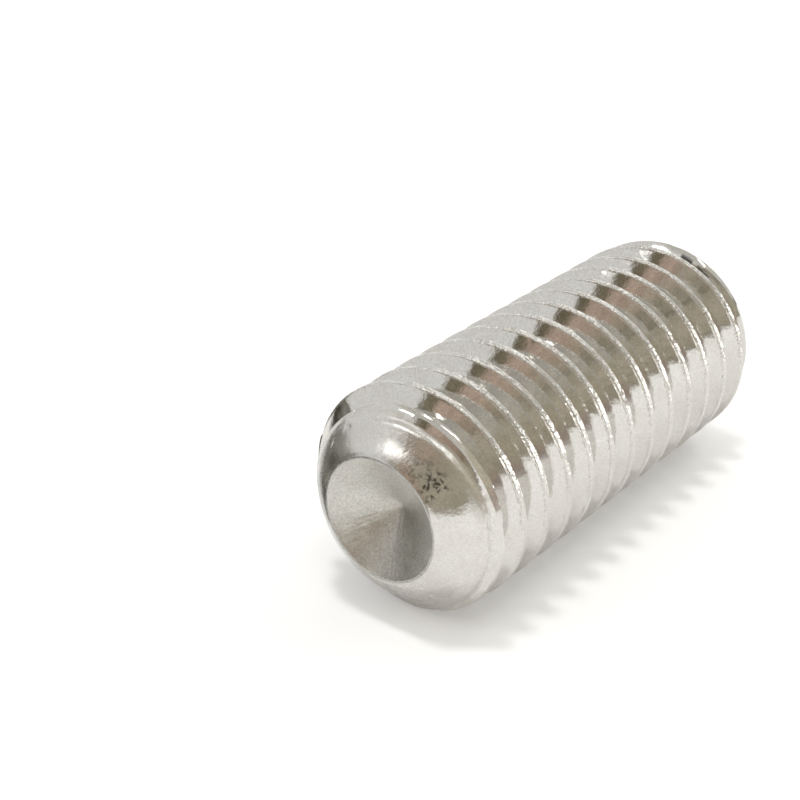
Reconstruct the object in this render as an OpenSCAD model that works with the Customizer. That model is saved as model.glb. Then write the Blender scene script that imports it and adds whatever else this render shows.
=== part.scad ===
// Socket set screw, 3/8-16 by 7/8 inch, with a hex socket and a cup point.
// Millimetres. It stands on the rim of its cup: origin in the middle of that rim, Z along the screw's axis,
// socket end up. One solid piece: a chamfered blank that the thread is cut into.

/* [Screw] */
// Major diameter over the thread crests
screw_d = 9.525; // [8:0.025:12]
// Length over both ends
screw_l = 22.225; // [16:0.025:28]

/* [Thread] */
// Distance from crest to crest
thread_pitch = 1.5875; // [1.25:0.0125:2]
// Height of the first crest above the cup rim, on the X axis
thread_start = 1.11; // [0:0.01:1.2]
// Flat facets in one turn of the thread
thread_steps = 48; // [24:4:52]
// Points across the rounded root of the thread
root_points = 4; // [3:1:4]

/* [Hex socket] */
// Width of the hex across its flats
hex_af = 4.7625; // [4:0.0125:5.5]
// Depth of the hex below the end face
hex_depth = 5.6; // [4:0.1:7]
// Width of the drilled bottom, as a share of the hex width
drill_share = 0.96; // [0.8:0.01:1]
// Full angle of the drilled bottom
drill_angle = 118; // [90:1:150]
// Full angle of the countersink
mouth_angle = 110; // [90:1:140]

/* [Socket end] */
// Distance from the thread crests in to the flat ring
end_drop = 1.05; // [0.8:0.01:1.3]
// Width of the flat ring, with the countersink inside it
end_ring = 0.38; // [0.1:0.01:0.6]
// Length of the rounded chamfer behind the ring
end_chamfer = 1.3; // [0.6:0.01:2]
// Roundness of that chamfer, from nearly a cone to a quarter round
end_roundness = 0.3; // [0.05:0.01:0.95]

/* [Cup point] */
// Diameter of the cup at its rim
cup_d = 5.07; // [4:0.01:5.6]
// Full angle of the cup
cup_angle = 118; // [90:1:140]
// Width of the flat rim around the cup
cup_rim = 0.125; // [0.1:0.005:0.5]
// Length of the domed chamfer from the rim to the full diameter
point_l = 2.15; // [1:0.01:3]
// Roundness of the dome, from nearly a cone to a quarter round
point_roundness = 0.36; // [0.05:0.01:0.95]

/* [Hidden] */
steel = [0.72, 0.71, 0.69];

// How far the blank stands proud of the thread's crests, so that it doesn't shave them.
clearance = 0.01;
// How far a cut reaches past the face that it opens into.
overrun = 0.1;

// Thread form: a 60 degree V of height vee_h, its crest cut flat and its root rounded.
flank_angle = 30;
screw_r = screw_d / 2;
full_r = screw_r + clearance;
vee_h = thread_pitch / 2 / tan(flank_angle);
crest_half = thread_pitch / 16;
root_round = vee_h / 6;
root_centre_r = screw_r - vee_h * 7 / 8 + root_round / sin(flank_angle);
first_z = thread_start - thread_pitch * ceil(thread_start / thread_pitch + 1);
turns = ceil((screw_l - first_z) / thread_pitch + 0.1);
last_row = turns * thread_steps;

// Socket: the hex, the drilled bottom and the countersink, each with its radius and height.
hex_r = hex_af / 2 / cos(30);
drill_r = drill_share * hex_af / 2;
drill_h = drill_r / tan(drill_angle / 2);
end_ring_r = screw_r - end_drop;
mouth_r = end_ring_r - end_ring;
mouth_h = mouth_r / tan(mouth_angle / 2);

// Cup, and the flat rim around it.
cup_r = cup_d / 2;
cup_h = cup_r / tan(cup_angle / 2);
cup_rim_r = cup_r + cup_rim;

// Points across one pitch of thread, as height and radius: the crest, then the rounded root.
thread_profile = concat(
    [[-crest_half, screw_r], [crest_half, screw_r]],
    [for (k = [0:root_points - 1])
        let (a = (flank_angle - 90) * (1 - 2 * k / (root_points - 1)))
        [thread_pitch / 2 + root_round * sin(a), root_centre_r - root_round * cos(a)]]
);
across = len(thread_profile);

// One point of the helix: row counts the facets around, place counts across the profile.
function helix_point(row, place) =
    let (
        angle = 360 * row / thread_steps,
        radius = thread_profile[place][1],
        height = first_z + thread_pitch * row / thread_steps + thread_profile[place][0]
    )
    [radius * cos(angle), radius * sin(angle), height];

// Number of that point. The end of one profile is the start of the profile one turn further on.
function helix_index(row, place) =
    place == across ? helix_index(row + thread_steps, 0)
    : row <= last_row ? row * across + place
    : (last_row + 1) * across + row - last_row - 1;

// A threaded bar, longer than the screw at both ends.
module threaded_bar() {
    points = concat(
        [for (row = [0:last_row]) for (place = [0:across - 1]) helix_point(row, place)],
        [for (row = [last_row + 1:last_row + thread_steps]) helix_point(row, 0)],
        [[0, 0, first_z - thread_pitch], [0, 0, first_z + thread_pitch * (turns + 2)]]
    );
    bottom = len(points) - 2;
    top = len(points) - 1;
    outside = [for (row = [0:last_row - 1]) for (place = [0:across - 1])
        let (
            a = helix_index(row, place),
            b = helix_index(row + 1, place),
            c = helix_index(row + 1, place + 1),
            d = helix_index(row, place + 1)
        )
        each [[a, d, c], [a, c, b]]];
    bottom_fan = concat(
        [for (row = [0:thread_steps - 1]) [bottom, helix_index(row, 0), helix_index(row + 1, 0)]],
        [for (place = [0:across - 1]) [bottom, helix_index(0, place + 1), helix_index(0, place)]]
    );
    top_fan = concat(
        [for (row = [last_row:last_row + thread_steps - 1])
            [top, helix_index(row + 1, 0), helix_index(row, 0)]],
        [for (place = [0:across - 1])
            [top, helix_index(last_row, place), helix_index(last_row, place + 1)]]
    );
    polyhedron(points = points, faces = concat(outside, bottom_fan, top_fan));
}

// What a rounded chamfer takes off the half section: the space outside an arc that runs from radius
// ring_r at height 0 to the full radius at height chamfer_l. At roundness 1 the arc would leave one
// of the two without an edge.
module chamfer_corner(ring_r, chamfer_l, roundness) {
    width = full_r - ring_r;
    chord = sqrt(pow(width, 2) + pow(chamfer_l, 2));
    slope = atan2(chamfer_l, width);
    rise = roundness * chord / 2 * tan(min(slope, 90 - slope) / 2);
    arc_r = chord * chord / (8 * rise) + rise / 2;
    reach = arc_r - rise;
    centre = [(full_r + ring_r) / 2 - reach * chamfer_l / chord, chamfer_l / 2 + reach * width / chord];
    difference() {
        translate([ring_r - clearance, -overrun])
            square([width + clearance + overrun, chamfer_l + 2 * overrun]);
        translate(centre) circle(r = arc_r, $fn = 180);
    }
}

// The turned blank: a bar with the domed point below and the rounded chamfer on top.
module blank() {
    rotate_extrude($fn = 96) {
        difference() {
            square([full_r, screw_l]);
            chamfer_corner(cup_rim_r, point_l, point_roundness);
            translate([0, screw_l]) mirror([0, 1]) chamfer_corner(end_ring_r, end_chamfer, end_roundness);
        }
    }
}

// A cone that opens from its tip at height 0 to radius r at height h, and runs on past that.
module open_cone(r, h) {
    cylinder(r1 = 0, r2 = r * (h + overrun) / h, h = h + overrun, $fn = 96);
}

// What the hex broach, the drill and the countersink take out of the top.
module socket_cut() {
    hex_z = screw_l - hex_depth;
    translate([0, 0, hex_z]) cylinder(r = hex_r, h = hex_depth + overrun, $fn = 6);
    translate([0, 0, hex_z - drill_h])
        rotate_extrude($fn = 96)
            polygon([[0, 0], [drill_r, drill_h], [drill_r, drill_h + overrun], [0, drill_h + overrun]]);
    translate([0, 0, screw_l - mouth_h]) open_cone(mouth_r, mouth_h);
}

// The conical cup in the point.
module cup_cut() {
    translate([0, 0, cup_h]) mirror([0, 0, 1]) open_cone(cup_r, cup_h);
}

module screw_body() {
    color(steel)
        intersection() {
            difference() {
                blank();
                socket_cut();
                cup_cut();
            }
            threaded_bar();
        }
}

screw_body();
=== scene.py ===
"""A cup-point set screw of bright stainless steel, standing on its cup rim, in the studio of its photograph.

Metres, in the CAD's frame: Z runs along the screw from the cup to the socket. The photograph shows the screw
lying down, so the camera is rolled, and the paper that it lies on there is the upright sheet of paper here.
"""
import math

import bpy
import numpy as np
from mathutils import Matrix


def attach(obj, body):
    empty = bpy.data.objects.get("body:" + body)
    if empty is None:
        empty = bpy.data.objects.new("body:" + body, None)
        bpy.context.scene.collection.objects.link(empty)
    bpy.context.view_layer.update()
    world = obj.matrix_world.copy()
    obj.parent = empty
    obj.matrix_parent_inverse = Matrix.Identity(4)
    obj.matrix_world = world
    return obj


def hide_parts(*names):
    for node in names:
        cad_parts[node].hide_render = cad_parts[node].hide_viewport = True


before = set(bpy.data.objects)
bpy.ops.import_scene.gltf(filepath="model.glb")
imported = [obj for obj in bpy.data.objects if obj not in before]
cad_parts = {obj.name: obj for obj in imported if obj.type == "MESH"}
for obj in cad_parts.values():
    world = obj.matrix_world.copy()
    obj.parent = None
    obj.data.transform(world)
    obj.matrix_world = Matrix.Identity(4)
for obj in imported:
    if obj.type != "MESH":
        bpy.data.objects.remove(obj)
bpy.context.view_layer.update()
fine = np.random.default_rng(41)

# Sizes of the screw, the same as in part.scad.
MM = 0.001
SCREW_R = 4.7625 * MM
SCREW_L = 22.225 * MM
PITCH = 1.5875 * MM
THREAD_START = 1.11 * MM
FLANK = math.tan(math.radians(60))
CREST_HALF = PITCH / 16
ROOT_ROUND = PITCH * math.sqrt(3) / 12
ROOT_CENTRE = SCREW_R - PITCH * math.sqrt(3) * 7 / 16 + 2 * ROOT_ROUND
FULL_R = SCREW_R + 0.01 * MM
HEX_APOTHEM = 2.38125 * MM
HEX_DEPTH = 5.6 * MM
DRILL_R = 0.96 * HEX_APOTHEM
DRILL_H = DRILL_R / math.tan(math.radians(59))
END_RING_R = SCREW_R - 1.05 * MM
MOUTH_R = END_RING_R - 0.38 * MM
MOUTH_SLOPE = math.tan(math.radians(55))
END_CHAMFER = 1.3 * MM
END_ROUNDNESS = 0.3
CUP_R = 2.535 * MM
CUP_HALF_ANGLE = math.radians(59)
CUP_H = CUP_R / math.tan(CUP_HALF_ANGLE)
CUP_RIM_R = CUP_R + 0.125 * MM
POINT_L = 2.15 * MM
POINT_ROUNDNESS = 0.36

# Detail that only the dressed screw has.
COLUMNS = 288
CREST_WIDE = 0.115 * MM
CREST_SOFT = 0.025 * MM
CREST_SINK = 0.014 * MM
FIRST_CREST_SINK = 0.04 * MM
RUNOUT_SOFT = 0.05 * MM
RIM_EDGE = 0.03 * MM
CUP_TIP_ROUND = 0.05 * MM
CUP_TIP_BLUNT = 0.075 * MM
CUP_CREASE = 0.0009 * MM
MOUTH_EDGE = 0.006 * MM
HEX_BOTTOM_EDGE = 0.02 * MM
KNOCKS = 1500
UNEVEN = 0.0035 * MM
DENTS = 0.0022 * MM
SEAM = 0.010 * MM
# Turns of the helix below the crest at THREAD_START, which cover the point.
TURNS_BELOW = 2
# A point of the thread that comes this near to an end moves onto that end's own ring.
SNAP = 0.03 * MM
SHARP_ANGLE = math.radians(34)

# Directions in the photograph: up from the paper, out of the cup, and to the right along the paper.
PHOTO_UP = np.array((1.0, -1.0, 0.0)) / math.sqrt(2)
CUP_WAY = np.array((0.0, 0.0, -1.0))
PHOTO_RIGHT = np.array((1.0, 1.0, 0.0)) / math.sqrt(2)


def smooth_min(a, b, width):
    """The lower of two heights, with the corner between them rounded over about width."""
    h = np.clip(0.5 + 0.5 * (b - a) / width, 0, 1)
    return b + (a - b) * h - width * h * (1 - h)


def bell(x, width):
    return np.exp(-(x / width) ** 2)


def step(x, low, high):
    t = np.clip((x - low) / (high - low), 0, 1)
    return t * t * (3 - 2 * t)


def waves(points, length, count, rng):
    """Smooth unevenness of about the given wavelength, mostly between -1 and 1."""
    total = np.zeros(len(points))
    for _ in range(count):
        way = rng.normal(size=3)
        way *= 2 * math.pi / (length * rng.uniform(0.7, 1.4) * np.linalg.norm(way))
        total += np.sin(points @ way + rng.uniform(0, 2 * math.pi))
    return total / math.sqrt(count)


def chamfer_arc(ring_r, chamfer_l, roundness):
    """The arc of a rounded chamfer: radius as a function of height, from ring_r up to the full radius."""
    width = FULL_R - ring_r
    chord = math.hypot(width, chamfer_l)
    slope = math.atan2(chamfer_l, width)
    rise = roundness * chord / 2 * math.tan(min(slope, math.pi / 2 - slope) / 2)
    arc_r = chord * chord / (8 * rise) + rise / 2
    reach = arc_r - rise
    centre_x = (FULL_R + ring_r) / 2 - reach * chamfer_l / chord
    centre_y = chamfer_l / 2 + reach * width / chord
    return lambda h: centre_x + np.sqrt(np.maximum(arc_r ** 2 - (h - centre_y) ** 2, 0))


point_arc = chamfer_arc(CUP_RIM_R, POINT_L, POINT_ROUNDNESS)
end_arc = chamfer_arc(END_RING_R, END_CHAMFER, END_ROUNDNESS)


def blank_radius(z):
    """Radius of the turned blank at a height, before its thread is rolled."""
    below = np.where(z < POINT_L, point_arc(np.minimum(z, POINT_L)), FULL_R)
    top = SCREW_L - z
    above = np.where(top < END_CHAMFER, end_arc(np.minimum(top, END_CHAMFER)), FULL_R)
    return np.minimum(below, above)


def thread_radius(w):
    """Radius of the thread at a distance w along the screw from the middle of the nearest crest. The rolled
    crests are a little wider than the form's, and hollow between their two edges."""
    lift = (CREST_WIDE - CREST_HALF) * FLANK
    flank = SCREW_R - (w - CREST_WIDE) * FLANK
    to_root = PITCH / 2 - w
    root = ROOT_CENTRE + lift - np.sqrt(np.maximum(ROOT_ROUND ** 2 - to_root ** 2, 0))
    groove = np.where(to_root < ROOT_ROUND * math.sqrt(0.75), root, flank)
    crest = SCREW_R - CREST_SINK * bell(w, 0.055 * MM)
    return smooth_min(groove, crest, CREST_SOFT)


def table(x, *pairs):
    """Smooth curve through pairs of x and y."""
    xs, ys = zip(*pairs)
    t = np.interp(x, xs, np.arange(len(xs)))
    low = np.clip(np.floor(t).astype(int), 0, len(xs) - 2)
    f = t - low
    f = f * f * (3 - 2 * f) * 0.5 + f * 0.5
    ys = np.array(ys)
    return ys[low] + (ys[low + 1] - ys[low]) * f


def first_front(angle):
    """Where the half-formed first crest rises from the dome, as a distance from the middle of that crest."""
    return MM * table(angle, (-90, 0.30), (-47, 0.25), (-25, 0.20), (0, 0.20), (20, 0.21), (42, 0.15),
                      (70, 0.04), (135, -0.05), (200, -0.10), (240, -0.135))


def first_crest(angle, w):
    """Radius of the first crest, which the dies only half filled: lower and wider than the others, with a
    hollow along the middle. Angle is in degrees along the helix from the X axis."""
    front_r = MM * table(angle, (-90, 3.9), (-70, 4.15), (-47, 4.34), (-25, 4.43), (0, 4.47), (20, 4.54),
                         (42, 4.60), (135, 4.64), (200, 4.70), (240, 4.7625))
    rear_r = MM * table(angle, (-90, 3.95), (-70, 4.2), (-47, 4.42), (-25, 4.54), (0, 4.60), (20, 4.65),
                        (42, 4.68), (135, 4.66), (200, 4.71), (240, 4.7625))
    rear = MM * table(angle, (-90, 0.36), (-47, 0.42), (-20, 0.50), (5, 0.54), (18, 0.48), (45, 0.33),
                      (80, 0.22), (135, 0.16), (240, 0.135))
    front = first_front(angle)
    share = (w - front) / (rear - front)
    wide_enough = step(rear - front, 0.18 * MM, 0.3 * MM)
    hollow = FIRST_CREST_SINK * np.clip(4 * share * (1 - share), 0, 1) * wide_enough
    top = front_r + (rear_r - front_r) * np.clip(share, 0, 1) - hollow
    rising = front_r + (w - front) * 2.7
    falling = rear_r - (w - rear) * FLANK
    return smooth_min(smooth_min(rising, falling, 0.02 * MM), top, 0.02 * MM)


def dome_ridge(angle, w):
    """The swollen edge of the dome in front of that crest."""
    behind = w - first_front(angle)
    shown = step(angle, -100, -60) * (1 - step(angle, 60, 120))
    swell = 0.165 * bell(behind + 0.34 * MM, 0.20 * MM) + 0.05 * bell(behind + 0.02 * MM, 0.13 * MM)
    return shown * MM * swell


def dome_flat(degrees, z):
    """The upper side of the dome is a little flatter beside the cup. Degrees count around from the X axis."""
    aside = (degrees + 44 + 180) % 360 - 180
    across = step(z, 0.02 * MM, 0.5 * MM) * (1 - step(z, 0.8 * MM, 1.2 * MM))
    return -0.10 * MM * bell(aside, 42) * across


def crest_wear(along, w):
    """How deep the crests are nicked and dented: along counts columns along the helix, w is the distance
    from the middle of the crest."""
    depth = np.zeros_like(w)
    total = int(along.max()) + 1
    for _ in range(KNOCKS):
        place = fine.uniform(0, total)
        # The side that lies towards the camera in the photograph took most of the knocks.
        side = math.cos(2 * math.pi * place / COLUMNS - 0.3)
        if fine.uniform() > 0.5 + 0.45 * side:
            continue
        length = fine.uniform(0.6, 1.9)
        near = np.abs(along - place) < 4 * length
        off = fine.uniform(-0.1, 0.1) * MM
        size = fine.uniform(0.04, 0.09) * MM
        amount = 0.008 * MM / fine.uniform(0.11, 1.0)
        depth[near] += amount * bell(along[near] - place, length) * bell(w[near] - off, size)
    return depth


def crest_seam(along, w):
    """The ragged fold along the middle of a rolled crest."""
    ragged = 0.5 + 0.5 * np.sin(along * 0.31) * np.sin(along * 0.083 + 1.0)
    return SEAM * ragged * bell(w, 0.035 * MM)


class Shell:
    """Gathers the points and faces of one closed mesh."""

    def __init__(self):
        self.points = []
        self.faces = []
        self.finish = []

    def ring(self, radius, height):
        """One closed ring of points. Radius and height may each be a number or one value a column."""
        first = len(self.points)
        for k in range(COLUMNS):
            angle = 2 * math.pi * k / COLUMNS
            r = radius[k] if np.ndim(radius) else radius
            z = height[k] if np.ndim(height) else height
            self.points.append((r * math.cos(angle), r * math.sin(angle), z))
        return [first + k for k in range(COLUMNS)]

    def band(self, low, high, finish):
        """Faces between two rings. Seen from outside, high lies above low."""
        for k in range(COLUMNS):
            n = (k + 1) % COLUMNS
            self.face((low[k], low[n], high[n], high[k]), finish)

    def fan(self, ring, tip, finish, turned):
        for k in range(COLUMNS):
            n = (k + 1) % COLUMNS
            self.face((ring[n], ring[k], tip) if turned else (ring[k], ring[n], tip), finish)

    def face(self, corners, finish):
        kept = []
        for corner in corners:
            if corner not in kept:
                kept.append(corner)
        if len(kept) > 2:
            self.faces.append(kept)
            self.finish.append(finish)


THREAD, POINT, CUP, SOCKET = range(4)


def helix_grid():
    """Points of the outside. Rows follow the helix, so that each crest and root has rows of its own."""
    half = np.array((0, 0.045, 0.08, 0.105, 0.135, 0.18, 0.36, 0.53, 0.63, 0.71)) * MM
    # Behind the wide first crest the same rows stand at other places.
    wide_half = np.array((0, 0.05, 0.09, 0.12, 0.20, 0.32, 0.42, 0.46, 0.50, 0.60)) * MM
    across = np.concatenate((half, [PITCH / 2], PITCH - half[:0:-1]))
    wide_across = np.concatenate((wide_half, across[len(half):]))
    per_turn = len(across)
    turns = TURNS_BELOW + math.ceil((SCREW_L - THREAD_START) / PITCH + 0.2)
    rows = np.arange(turns * per_turn + per_turn // 2)
    turn, place = np.divmod(rows, per_turn)
    column = np.arange(COLUMNS)
    helix = turn[:, None] * COLUMNS + column[None, :]
    angle = 360.0 * (helix / COLUMNS - TURNS_BELOW)
    wide = step(angle, -100, -60) * (1 - step(angle, 45, 100))
    past = across[place][:, None] + wide * (wide_across - across)[place][:, None]
    z = THREAD_START + PITCH * (helix / COLUMNS - TURNS_BELOW) + past
    w = np.where(past > PITCH / 2, past - PITCH, past)
    along = helix + (past > PITCH / 2) * COLUMNS
    return z, w, along.astype(float), per_turn


def outside_radius(z, w, along):
    """Radius of the finished outside at each point of the grid, with its wear."""
    shape = z.shape
    z, w, along = z.ravel(), w.ravel(), along.ravel()
    angle = 2 * math.pi * along / COLUMNS
    blank = blank_radius(z)
    thread = thread_radius(np.abs(w))
    at = np.stack((SCREW_R * np.cos(angle), SCREW_R * np.sin(angle), z), 1)
    uneven = waves(at, 1.3 * MM, 14, fine)
    dents = waves(at, 0.42 * MM, 26, fine)
    turned = 360 * (along / COLUMNS - TURNS_BELOW)
    near_point = (turned > -100) & (turned < 240)
    blank = blank + np.where(near_point & (z < POINT_L), dome_ridge(turned, w), 0.0)
    blank = blank + np.where(z < POINT_L, dome_flat(turned, z), 0.0)
    radius = smooth_min(thread, blank, RUNOUT_SOFT)
    raised = np.maximum(np.where(near_point, first_crest(turned, w), 0.0),
                        np.where((turned > 260) & (turned < 600), first_crest(turned - 360, w + PITCH), 0.0))
    raised = np.minimum(raised, SCREW_R)
    on_blank = step(thread - blank, -0.04 * MM, 0.06 * MM) * (raised < radius)
    radius = -smooth_min(-radius, -raised, 0.03 * MM)
    radius = radius + UNEVEN * uneven + DENTS * dents * on_blank
    ends = step(z, 0.15 * MM, 0.6 * MM) * step(SCREW_L - z, 0.15 * MM, 0.6 * MM)
    radius = radius - ends * (crest_wear(along, w) + crest_seam(along, w))
    is_point = (z < POINT_L) & (on_blank > 0.2)
    return np.minimum(radius, SCREW_R + 0.004 * MM).reshape(shape), is_point.reshape(shape)


def lay_outside(shell):
    """Adds the threaded outside and returns the rings of points that it ends on, below and on top."""
    z, w, along, per_turn = helix_grid()
    radius, is_point = outside_radius(z, w, along)
    low_z, high_z = RIM_EDGE, SCREW_L - RIM_EDGE
    low_ring = shell.ring(float(blank_radius(np.array([low_z]))[0]), low_z)
    high_ring = shell.ring(float(blank_radius(np.array([high_z]))[0]), high_z)
    rows = z.shape[0]
    number = np.full((rows, COLUMNS + 1), -1)
    for row in range(rows):
        for k in range(COLUMNS):
            if z[row, k] < low_z + SNAP:
                number[row, k] = low_ring[k]
            elif z[row, k] > high_z - SNAP:
                number[row, k] = high_ring[k]
            else:
                angle = 2 * math.pi * k / COLUMNS
                r = radius[row, k]
                number[row, k] = len(shell.points)
                shell.points.append((r * math.cos(angle), r * math.sin(angle), z[row, k]))
    # The end of a row is the start of the row one turn further on.
    number[:rows - per_turn, COLUMNS] = number[per_turn:, 0]
    number[rows - per_turn:, COLUMNS] = high_ring[0]
    for row in range(rows - 1):
        for k in range(COLUMNS):
            corners = (number[row, k], number[row, k + 1], number[row + 1, k + 1], number[row + 1, k])
            shell.face([int(c) for c in corners], POINT if is_point[row, k] else THREAD)
    return low_ring, high_ring


def lay_cup(shell, outer):
    """The rim that the screw stands on and the pressed cup inside it."""
    rings = [(CUP_RIM_R - 0.002 * MM, 0.010 * MM), (CUP_RIM_R - 0.014 * MM, 0.0), (CUP_R + 0.018 * MM, 0.0),
             (CUP_R + 0.005 * MM, 0.004 * MM), (CUP_R - 0.006 * MM, 0.014 * MM)]
    last = outer
    for index, (radius, height) in enumerate(rings):
        ring = shell.ring(radius, height)
        shell.band(ring, last, POINT if index < 3 else CUP)
        last = ring
    angle = 2 * math.pi * np.arange(COLUMNS) / COLUMNS
    creases = sum(fine.uniform(0.3, 1) * np.sin(m * angle + fine.uniform(0, 6.28)) for m in range(7, 38, 2))
    creases *= CUP_CREASE / math.sqrt(7)
    for share in (0.95, 0.88, 0.8, 0.71, 0.62, 0.53, 0.44, 0.35, 0.26, 0.18, 0.11, 0.055):
        radius = CUP_R * share
        fade = min(1.0, 4 * share * (1.05 - share) + 0.25)
        height = (CUP_R - radius) / math.tan(CUP_HALF_ANGLE) + creases * fade
        height = height - CUP_TIP_ROUND * bell(share, 0.13)
        ring = shell.ring(radius, height)
        shell.band(ring, last, CUP)
        last = ring
    shell.points.append((0.0, 0.0, CUP_H - CUP_TIP_BLUNT))
    shell.fan(last, len(shell.points) - 1, CUP, turned=True)


def lay_socket(shell, outer):
    """The flat ring on top, the countersink, the hex and the drilled bottom."""
    angle = 2 * math.pi * np.arange(COLUMNS) / COLUMNS
    hex_r = HEX_APOTHEM / np.cos((angle % (math.pi / 3)) - math.pi / 6)
    meet = SCREW_L - (MOUTH_R - hex_r) / MOUTH_SLOPE
    last = outer
    for radius, drop in ((END_RING_R - 0.012 * MM, 0.009 * MM), (END_RING_R - 0.04 * MM, 0.0),
                         (MOUTH_R + 0.03 * MM, 0.0), (MOUTH_R + 0.008 * MM, MOUTH_EDGE)):
        ring = shell.ring(radius, SCREW_L - drop)
        shell.band(last, ring, POINT)
        last = ring
    for share in (0.03, 0.25, 0.5, 0.75, 0.97):
        edge = MOUTH_EDGE if share < 0.1 else 0.0
        ring = shell.ring(MOUTH_R + (hex_r - MOUTH_R) * share, SCREW_L + (meet - SCREW_L) * share - edge)
        shell.band(last, ring, SOCKET)
        last = ring
    floor_z = SCREW_L - HEX_DEPTH
    for share in (0.015, 0.1, 0.2, 0.32, 0.46, 0.62, 0.8, 0.97, 1.0):
        edge = HEX_BOTTOM_EDGE * step(share, 0.98, 1.0)
        ring = shell.ring(hex_r - edge, meet + (floor_z - meet) * share)
        shell.band(last, ring, SOCKET)
        last = ring
    for share in (1.0, 0.75, 0.5, 0.25):
        ring = shell.ring(DRILL_R * share, floor_z - DRILL_H * (1 - share))
        shell.band(last, ring, SOCKET)
        last = ring
    shell.points.append((0.0, 0.0, floor_z - DRILL_H))
    shell.fan(last, len(shell.points) - 1, SOCKET, turned=False)


def make_screw():
    shell = Shell()
    low_ring, high_ring = lay_outside(shell)
    lay_cup(shell, low_ring)
    lay_socket(shell, high_ring)
    mesh = bpy.data.meshes.new("screw_steel_body")
    mesh.from_pydata([tuple(map(float, p)) for p in shell.points], [], shell.faces)
    mesh.polygons.foreach_set("material_index", shell.finish)
    mesh.polygons.foreach_set("use_smooth", [True] * len(mesh.polygons))
    mesh.update()
    mesh.set_sharp_from_angle(angle=SHARP_ANGLE)
    screw = bpy.data.objects.new("screw_steel_body", mesh)
    bpy.context.scene.collection.objects.link(screw)
    return screw


class Graph:
    """Short ways to add shader nodes to one tree."""

    def __init__(self, tree):
        self.tree = tree
        tree.nodes.clear()

    def add(self, kind, *values, out=0, **settings):
        node = self.tree.nodes.new("ShaderNode" + kind)
        for name, value in settings.items():
            setattr(node, name, value)
        for index, value in enumerate(values):
            self.put(node, index, value)
        return node.outputs[out] if len(node.outputs) else node

    def put(self, node, place, value):
        """Links a socket to an input, or sets the input's own value."""
        if isinstance(value, bpy.types.NodeSocket):
            self.tree.links.new(value, node.inputs[place])
        elif value is not None:
            node.inputs[place].default_value = value

    def math(self, operation, *values):
        return self.add("Math", *values, operation=operation)

    def times(self, first, *others):
        """The product of any number of values."""
        for other in others:
            first = self.math("MULTIPLY", first, other)
        return first

    def scaled(self, color, factor):
        return self.add("VectorMath", color, None, None, factor, operation="SCALE")

    def smooth(self, value, low, high, to_low=0.0, to_high=1.0):
        """Goes smoothly from to_low to to_high while value goes from low to high."""
        return self.add("MapRange", value, low, high, to_low, to_high, interpolation_type="SMOOTHSTEP")

    def dot(self, vector, way):
        return self.add("VectorMath", vector, tuple(way), operation="DOT_PRODUCT", out="Value")

    def mix(self, factor, a, b):
        node = self.tree.nodes.new("ShaderNodeMix")
        node.data_type = "RGBA"
        self.put(node, 0, factor)
        self.put(node, 6, a)
        self.put(node, 7, b)
        return node.outputs[2]

    def noise(self, vector, per_mm, detail=2.0, rough=0.5, stretch=None):
        """Noise over the screw, with per_mm blotches in a millimetre."""
        if stretch:
            vector = self.add("VectorMath", vector, stretch, operation="MULTIPLY")
        return self.plain_noise(vector, per_mm / MM, detail, rough)

    def plain_noise(self, vector, scale, detail, rough):
        node = self.tree.nodes.new("ShaderNodeTexNoise")
        self.put(node, "Vector", vector)
        self.put(node, "Scale", scale)
        self.put(node, "Detail", detail)
        self.put(node, "Roughness", rough)
        return node.outputs[0]

    def ramp(self, value, stops):
        node = self.tree.nodes.new("ShaderNodeValToRGB")
        self.put(node, 0, value)
        ramp = node.color_ramp
        while len(ramp.elements) < len(stops):
            ramp.elements.new(0.5)
        for element, (place, color) in zip(ramp.elements, stops):
            element.position = place
            element.color = (*color, 1.0)
        return node.outputs[0]


def steel(name, tints, bumps, roughness, roughness_span, grain, dull=None, painted_darkening=None):
    """A metal with uneven tint and gloss. bumps is a function that returns the bump height in metres, dull
    one that returns what is added to the roughness, and the last one what the tint is scaled by for painted
    shade."""
    material = bpy.data.materials.new(name)
    material.use_nodes = True
    g = Graph(material.node_tree)
    place = g.add("TexCoord", out="Object")
    tint = g.ramp(g.noise(place, 1.1, 4.0, 0.6), ((0.3, tints[0]), (0.7, tints[1])))
    grain_and_painted_dark = g.smooth(g.noise(place, 11.0, 3.0, 0.7), 0.3, 0.7, 1 - grain, 1 + grain)
    # Painted shade and painted dark reflections scale the tint here, on top of its random grain.
    if painted_darkening:
        grain_and_painted_dark = g.times(grain_and_painted_dark, painted_darkening(g, place))
    tint = g.scaled(tint, grain_and_painted_dark)
    glossiest, dullest = roughness - roughness_span, roughness + roughness_span
    gloss = g.smooth(g.noise(place, 2.2, 5.0, 0.6), 0.3, 0.75, glossiest, dullest)
    if dull:
        gloss = g.math("ADD", gloss, dull(g, place))
    shader = g.tree.nodes.new("ShaderNodeBsdfPrincipled")
    g.put(shader, "Base Color", tint)
    g.put(shader, "Metallic", 1.0)
    g.put(shader, "Roughness", gloss)
    bump = g.tree.nodes.new("ShaderNodeBump")
    g.put(bump, "Strength", 1.0)
    g.put(bump, "Distance", 1.0)
    g.put(bump, "Height", bumps(g, place))
    g.put(shader, "Normal", bump.outputs[0])
    g.add("OutputMaterial", shader.outputs[0])
    return material


def radius_of(g, place):
    """Distance from the screw's axis."""
    x, y = g.dot(place, (1, 0, 0)), g.dot(place, (0, 1, 0))
    return g.math("SQRT", g.math("ADD", g.times(x, x), g.times(y, y)))


def near_way(g, place, degrees, full, none, to_none=0.0, to_full=1.0):
    """to_full within full degrees around the axis from a direction, and to_none beyond none degrees."""
    way = (math.cos(math.radians(degrees)), math.sin(math.radians(degrees)), 0.0)
    facing = g.math("DIVIDE", g.dot(place, way), radius_of(g, place))
    return g.smooth(facing, math.cos(math.radians(none)), math.cos(math.radians(full)), to_none, to_full)


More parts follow.
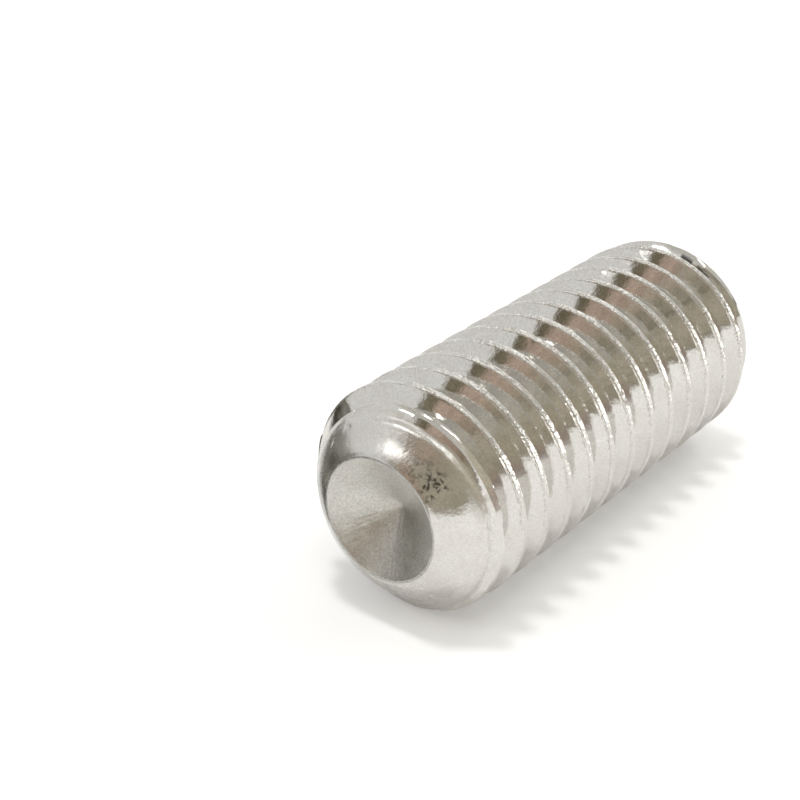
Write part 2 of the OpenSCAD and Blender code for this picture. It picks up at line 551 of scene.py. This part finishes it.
def thread_bumps(g, place):
    """Fine lines left along the thread by the rolling dies, and shallow mottling."""
    mottle = g.times(g.noise(place, 3.0, 2.0, 0.5), 0.005 * MM)
    mottle = g.math("ADD", mottle, g.times(g.noise(place, 9.0, 3.0, 0.7), 0.0022 * MM))
    lines = g.times(g.noise(place, 1.4, 4.0, 0.6, stretch=(1.0, 1.0, 14.0)), 0.0008 * MM)
    # The crests are battered all over.
    on_crest = g.smooth(radius_of(g, place), SCREW_R - 0.12 * MM, SCREW_R - 0.03 * MM)
    batter = g.times(g.noise(place, 8.0, 2.0, 0.6), 0.042 * MM, on_crest)
    return g.math("ADD", g.math("ADD", mottle, lines), batter)


def thread_painted_shade(g, place):
    """How dark the thread's tint is: 1 but for two dashes of painted shade in the last groove, by the end
    chamfer.
    """
    z = g.dot(place, (0, 0, 1))
    in_groove = g.times(g.smooth(z, 21.02 * MM, 21.10 * MM), g.smooth(z, 21.19 * MM, 21.30 * MM, 1.0, 0.0))
    dashes = g.math("MAXIMUM", near_way(g, place, -30, 3.14, 5.0), near_way(g, place, -17, 3.62, 6.28))
    return g.math("SUBTRACT", 1.0, g.times(dashes, in_groove, 0.85))


def point_dull(g, place):
    """The upper side of the dome is duller than the side towards the camera, and so is its swollen edge."""
    upper = near_way(g, place, 20, 42.3, 55.9, 0.13, 0.0)
    return g.math("ADD", upper, g.smooth(radius_of(g, place), 3.85 * MM, 4.1 * MM, 0.0, 0.16))


def point_painted_reflection(g, place):
    """How dark the dome's tint is: 1 but for a patch of black blotches beside the cup, fainter above it: a
    painted dark reflection.
    """
    dense = near_way(g, place, 1, 4.44, 10.26)
    faint = near_way(g, place, -9, 7.25, 14.07, 0.0, 0.45)
    radius = radius_of(g, place)
    near_cup = g.times(g.smooth(radius, 2.64 * MM, 2.76 * MM),
                       g.smooth(radius, 3.35 * MM, 3.85 * MM, 1.0, 0.0))
    blotches = g.smooth(g.noise(place, 3.4, 2.0, 0.5), 0.42, 0.56)
    specks = g.smooth(g.noise(place, 9.0, 3.0, 0.6), 0.40, 0.56)
    where = g.times(g.math("MAXIMUM", dense, faint), near_cup)
    return g.math("SUBTRACT", 1.0, g.times(where, blotches, specks, 0.9))


def point_bumps(g, place):
    """Mottling, and a scuffed place on the side that is turned towards the camera in the photograph."""
    mottle = g.times(g.noise(place, 3.6, 3.0, 0.6), 0.008 * MM)
    scuff_depth = near_way(g, place, -14, 9.94, 19.95, 0.003 * MM, 0.012 * MM)
    return g.math("ADD", mottle, g.times(scuff_depth, g.noise(place, 7.0, 4.0, 0.7)))


def cup_bumps(g, place):
    """Shallow creases that run out from the tip of the cup."""
    x = g.dot(place, (1, 0, 0))
    y = g.dot(place, (0, 1, 0))
    angle = g.math("ARCTAN2", y, x)
    around = g.tree.nodes.new("ShaderNodeCombineXYZ")
    g.put(around, 0, g.math("SINE", angle))
    g.put(around, 1, g.math("COSINE", angle))
    g.put(around, 2, g.times(g.add("VectorMath", place, operation="LENGTH", out="Value"), 180.0))
    lines = g.times(g.plain_noise(around.outputs[0], 11.0, 4.0, 0.5), 0.016 * MM)
    pits = g.times(g.noise(place, 5.0, 4.0, 0.7), 0.022 * MM)
    return g.math("ADD", lines, pits)


def socket_bumps(g, place):
    """Upright marks of the broach."""
    marks = g.times(g.noise(place, 5.0, 3.0, 0.6, stretch=(1.0, 1.0, 0.08)), 0.006 * MM)
    return g.math("ADD", marks, g.times(g.noise(place, 7.0, 2.0), 0.0015 * MM))


def paint_screw(screw):
    pale, warm = (0.735, 0.724, 0.70), (0.69, 0.67, 0.64)
    dull, dull_warm = (0.66, 0.65, 0.62), (0.58, 0.565, 0.535)
    # In the order of THREAD, POINT, CUP and SOCKET.
    for material in (
        steel("steel_thread", (warm, pale), thread_bumps, roughness=0.075, roughness_span=0.03, grain=0.07,
              painted_darkening=thread_painted_shade),
        steel("steel_point", (warm, pale), point_bumps, roughness=0.13, roughness_span=0.04, grain=0.06,
              dull=point_dull, painted_darkening=point_painted_reflection),
        steel("steel_cup", (dull_warm, dull), cup_bumps, roughness=0.37, roughness_span=0.06, grain=0.16),
        steel("steel_socket", (dull_warm, dull), socket_bumps, roughness=0.27, roughness_span=0.06,
              grain=0.08),
    ):
        screw.data.materials.append(material)


# The paper: where it stands, how far the metal mirrors it, and how much of its light is its own.
PAPER_AT = -SCREW_R
PAPER_HALF = 400 * MM
PAPER_WHITE = (0.885, 0.892, 0.91)
GLOSS_EDGE = 55 * MM
LAMP_DISTANCE = 150 * MM
PAPER_GLOW = 0.195
PAPER_GLOW_MIRRORED = 0.08


def paper_material(name, upright):
    """White paper. It shows from its front only. The upright sheet is seen in the metal up to its edge on
    the cup's side; the sheet under the screw is for the camera alone, so that it takes no light from the
    other."""
    material = bpy.data.materials.new(name)
    material.use_nodes = True
    g = Graph(material.node_tree)
    geometry = g.tree.nodes.new("ShaderNodeNewGeometry")
    path = g.tree.nodes.new("ShaderNodeLightPath")
    place = geometry.outputs["Position"]
    back = geometry.outputs["Backfacing"]
    fibres = g.noise(place, 0.5, 5.0, 0.6)
    paper = g.ramp(fibres, ((0.3, tuple(0.985 * c for c in PAPER_WHITE)), (0.7, PAPER_WHITE)))
    surface = g.add("BsdfDiffuse", paper)
    camera, glossy = path.outputs["Is Camera Ray"], path.outputs["Is Glossy Ray"]
    lit = g.math("ADD", g.times(camera, PAPER_GLOW), g.times(glossy, PAPER_GLOW_MIRRORED))
    glow = g.add("Emission", (1.0, 1.0, 1.0, 1.0), lit)
    surface = g.add("AddShader", surface, glow)
    if upright:
        beyond = g.math("LESS_THAN", g.dot(place, (0, 0, 1)), -GLOSS_EDGE)
        gone = g.math("MAXIMUM", back, g.times(beyond, glossy))
    else:
        gone = g.math("MAXIMUM", back, g.math("SUBTRACT", 1.0, camera))
    clear = g.add("BsdfTransparent")
    g.add("OutputMaterial", g.add("MixShader", gone, surface, clear))
    return material


def make_sheet(name, centre, across, up, upright):
    """A square sheet of paper that faces across x up."""
    centre, across, up = (np.array(v, float) for v in (centre, across, up))
    steps = 8
    points, faces = [], []
    for j in range(steps + 1):
        for i in range(steps + 1):
            points.append(centre + PAPER_HALF * ((2 * i / steps - 1) * across + (2 * j / steps - 1) * up))
    for j in range(steps):
        for i in range(steps):
            a = j * (steps + 1) + i
            faces.append((a, a + 1, a + steps + 2, a + steps + 1))
    mesh = bpy.data.meshes.new(name)
    mesh.from_pydata([tuple(p) for p in points], [], faces)
    mesh.materials.append(paper_material(name, upright))
    sheet = bpy.data.objects.new(name, mesh)
    bpy.context.scene.collection.objects.link(sheet)


def make_card():
    """A dark mottled card to the left of the cup, seen only in the metal."""
    material = bpy.data.materials.new("card")
    material.use_nodes = True
    g = Graph(material.node_tree)
    place = g.tree.nodes.new("ShaderNodeNewGeometry").outputs["Position"]
    mottled = g.ramp(g.noise(place, 0.45, 3.0, 0.6),
                     ((0.40, (0.07, 0.065, 0.05)), (0.62, (0.36, 0.35, 0.31))))
    g.add("OutputMaterial", g.add("Emission", mottled, 1.0))
    width, height = 5.5 * MM, 3.9 * MM
    middle = -7.0 * MM * PHOTO_RIGHT - 0.7 * MM * PHOTO_UP + 4.0 * MM * CUP_WAY
    corners = [middle + a * width * CUP_WAY + b * height * PHOTO_UP
               for a, b in ((-1, -1), (1, -1), (1, 1), (-1, 1))]
    mesh = bpy.data.meshes.new("card")
    mesh.from_pydata([tuple(corner) for corner in corners], [], [(0, 1, 2, 3)])
    mesh.materials.append(material)
    card = bpy.data.objects.new("card", mesh)
    bpy.context.scene.collection.objects.link(card)
    card.visible_camera = False
    card.visible_diffuse = False
    card.visible_shadow = False


# The room that the metal mirrors. Its azimuth and elevation are the photograph's, in degrees.
ROOM = (0.79, 0.785, 0.765, 1.0)
CEILING = (0.60, 0.585, 0.54, 1.0)
SOCKET_SIDE = (0.36, 0.345, 0.32, 1.0)
RUST = (0.22, 0.115, 0.07, 1.0)
# The furnished side, out beyond the cup: azimuth and colour.
FURNISHED = (
    (-25, (0.19, 0.165, 0.115)), (-15.5, (0.20, 0.175, 0.12)), (-13, (0.50, 0.395, 0.325)),
    (-6, (0.46, 0.355, 0.285)), (3, (0.41, 0.33, 0.25)), (11, (0.44, 0.395, 0.31)),
    (24, (0.45, 0.405, 0.315)), (45, (0.42, 0.385, 0.30)), (62, (0.47, 0.44, 0.36)), (84, (0.70, 0.69, 0.66)),
)
# Windows and grey walls: azimuth from and to, elevation from and to, softness of the edge, colour.
WALLS = (
    (128, 172, 26, 80, 5, (0.62, 0.61, 0.575, 1.0)),
    (133, 145, 3, 17, 2, (10.0, 10.0, 9.7, 1.0)),
    (38, 62, 56, 76, 4, (3.6, 3.6, 3.5, 1.0)),
    (-177, -146, 30, 42, 3, (2.4, 2.4, 2.3, 1.0)),
    (160, 176, 27, 37, 3, (2.0, 2.0, 1.9, 1.0)),
)


class Room(Graph):
    """The same short ways, with the direction that a ray leaves in."""

    def __init__(self, tree):
        super().__init__(tree)
        self.way = self.add("TexCoord", out="Generated")
        self.elevation = self.math("ARCSINE", self.dot(self.way, PHOTO_UP))
        self.azimuth = self.math("ARCTAN2", self.dot(self.way, PHOTO_RIGHT), self.dot(self.way, CUP_WAY))

    def across(self, angle, low, high, to_low=0.0, to_high=1.0):
        """Goes smoothly from to_low to to_high while an angle goes from low to high degrees."""
        return self.smooth(angle, math.radians(low), math.radians(high), to_low, to_high)

    def mottle(self, scale, detail, rough, low, high, to_low=0.0, to_high=1.0):
        return self.smooth(self.plain_noise(self.way, scale, detail, rough), low, high, to_low, to_high)

    def blot(self, az, el, half_az, half_el, ragged):
        """1 inside a ragged oval around a direction, and 0 outside."""
        radians = math.radians
        aside = self.math("DIVIDE", self.math("SUBTRACT", self.azimuth, radians(az)), radians(half_az))
        over = self.math("DIVIDE", self.math("SUBTRACT", self.elevation, radians(el)), radians(half_el))
        away = self.math("SQRT", self.math("ADD", self.times(aside, aside), self.times(over, over)))
        away = self.math("ADD", away, self.mottle(19.0, 3.0, 0.6, 0.35, 0.65, -ragged, ragged))
        return self.smooth(away, 0.8, 1.1, 1.0, 0.0)

    def patch(self, az_low, az_high, el_low, el_high, soft):
        """1 inside a range of azimuth and elevation, and 0 outside."""
        return self.times(self.across(self.azimuth, az_low - soft, az_low + soft),
                          self.across(self.azimuth, az_high - soft, az_high + soft, 1.0, 0.0),
                          self.across(self.elevation, el_low - soft, el_low + soft),
                          self.across(self.elevation, el_high - soft, el_high + soft, 1.0, 0.0))


def furnished_side(g):
    """The dark furnished side of the room: its clutter, with rusty places to the left."""
    low, high = -26.0, 84.0
    share = g.add("MapRange", g.azimuth, math.radians(low), math.radians(high), 0.0, 1.0)
    colors = g.ramp(share, [((azimuth - low) / (high - low), color) for azimuth, color in FURNISHED])
    near_floor = g.across(g.elevation, -2, 9, 0.78, 1.0)
    clutter = g.mottle(17.0, 5.0, 0.65, 0.3, 0.72, 0.6, 1.5)
    specks = g.mottle(48.0, 3.0, 0.6, 0.32, 0.68, 0.8, 1.22)
    rust = g.times(g.mottle(21.0, 3.0, 0.6, 0.60, 0.68), g.across(g.azimuth, -2, 4, 0.75, 0.0))
    return g.scaled(g.mix(rust, colors, RUST), g.times(near_floor, clutter, specks))


def furnished_share(g):
    """1 where a direction meets that side, and 0 elsewhere. Its top edge climbs a little to the right."""
    top_edge = g.math("SUBTRACT", g.elevation, g.times(g.azimuth, 0.2))
    return g.times(g.across(g.azimuth, -25.2, -23.8), g.across(g.azimuth, 70, 88, 1.0, 0.0),
                   g.across(top_edge, 41, 49, 1.0, 0.0))


def grey_side(g):
    """The greyer side of the room that the grooves mirror twice: brown below and lighter above."""
    color = g.mix(g.across(g.elevation, 8, 24), (0.50, 0.42, 0.37, 1.0), (0.56, 0.51, 0.40, 1.0))
    color = g.mix(g.across(g.elevation, 34, 60), color, (0.66, 0.645, 0.57, 1.0))
    return g.scaled(color, g.mottle(13.0, 5.0, 0.65, 0.3, 0.7, 0.78, 1.22))


def make_world():
    """White for the camera, and for everything else the room."""
    world = bpy.data.worlds.new("studio")
    bpy.context.scene.world = world
    world.use_nodes = True
    g = Room(world.node_tree)
    light = g.mix(g.across(g.elevation, 46, 60), ROOM, CEILING)
    light = g.mix(furnished_share(g), light, furnished_side(g))
    # Two dark blots that the dome and the upper flanks mirror.
    upper = g.mix(g.mottle(30.0, 4.0, 0.6, 0.4, 0.6), (0.14, 0.135, 0.11, 1.0), (0.56, 0.54, 0.47, 1.0))
    light = g.mix(g.blot(4, 36, 9, 7, 0.3), light, upper)
    lower = g.mix(g.mottle(26.0, 3.0, 0.6, 0.42, 0.62), (0.19, 0.172, 0.13, 1.0), (0.42, 0.385, 0.305, 1.0))
    light = g.mix(g.blot(15, 20, 9, 6.5, 0.4), light, lower)
    # Darker over the socket's end, which gives the side views something to mirror.
    light = g.mix(g.smooth(g.dot(g.way, (0, 0, 1)), 0.77, 0.86), light, SOCKET_SIDE)
    light = g.mix(g.patch(66, 122, 2, 74, 5), light, grey_side(g))
    for *limits, color in WALLS:
        light = g.mix(g.patch(*limits), light, color)
    seen = g.tree.nodes.new("ShaderNodeLightPath").outputs["Is Camera Ray"]
    light = g.mix(seen, light, (1.0, 1.0, 1.0, 1.0))
    g.add("OutputWorld", g.add("Background", light, 1.0))


def make_lamp(name, toward, strength, width, mirrored=True):
    """A soft lamp far away in the given direction, width degrees across."""
    data = bpy.data.lights.new(name, "SUN")
    data.energy = strength
    data.angle = math.radians(width)
    data.color = (1.0, 0.99, 0.97)
    lamp = bpy.data.objects.new(name, data)
    lamp.visible_glossy = mirrored
    bpy.context.scene.collection.objects.link(lamp)
    z = np.array(toward, float) / np.linalg.norm(toward)
    x = np.cross((0.0, 0.0, 1.0), z)
    x /= np.linalg.norm(x)
    y = np.cross(z, x)
    lamp.matrix_world = Matrix([(*row, 0.0) for row in np.stack((x, y, z), 1)] + [(0, 0, 0, 1)])
    lamp.location = tuple(LAMP_DISTANCE * z)


def make_camera():
    right = (0.55621, 0.55621, 0.61746)
    up = (0.42546, -0.82883, 0.36336)
    back = (0.71388, 0.0606, -0.69765)
    data = bpy.data.cameras.new("camera")
    data.sensor_width = 36.0
    data.lens = 70.135
    data.clip_start = 0.001
    data.clip_end = 10.0
    camera = bpy.data.objects.new("camera", data)
    bpy.context.scene.collection.objects.link(camera)
    place = (0.044572, 0.000246, -0.039055)
    rows = [(right[i], up[i], back[i], place[i]) for i in range(3)]
    camera.matrix_world = Matrix(rows + [(0, 0, 0, 1)])
    bpy.context.scene.camera = camera


def photo_way(azimuth, elevation):
    """A direction in the photograph: azimuth from the cup's way to the right, elevation off the paper."""
    a, e = math.radians(azimuth), math.radians(elevation)
    return math.sin(e) * PHOTO_UP + math.cos(e) * (math.cos(a) * CUP_WAY + math.sin(a) * PHOTO_RIGHT)


def make_studio():
    make_sheet("paper_upright", PHOTO_UP * PAPER_AT, PHOTO_RIGHT, (0, 0, 1), upright=True)
    make_sheet("paper_below", (0, 0, 0), (1, 0, 0), (0, 1, 0), upright=False)
    make_world()
    make_card()
    make_lamp("key", photo_way(-32, 41), strength=0.13, width=16)
    make_lamp("overhead", photo_way(-52, 82), strength=0.14, width=9)
    # These two light the paper alone: the metal doesn't mirror them.
    make_lamp("overhead_shade", photo_way(-52, 84), strength=0.76, width=10, mirrored=False)
    make_lamp("back_shade", photo_way(150, 56), strength=0.30, width=20, mirrored=False)
    bpy.context.scene.view_settings.view_transform = "Standard"


make_camera()
make_studio()
screw_object = make_screw()
paint_screw(screw_object)
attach(screw_object, "root")
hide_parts("screw_body")
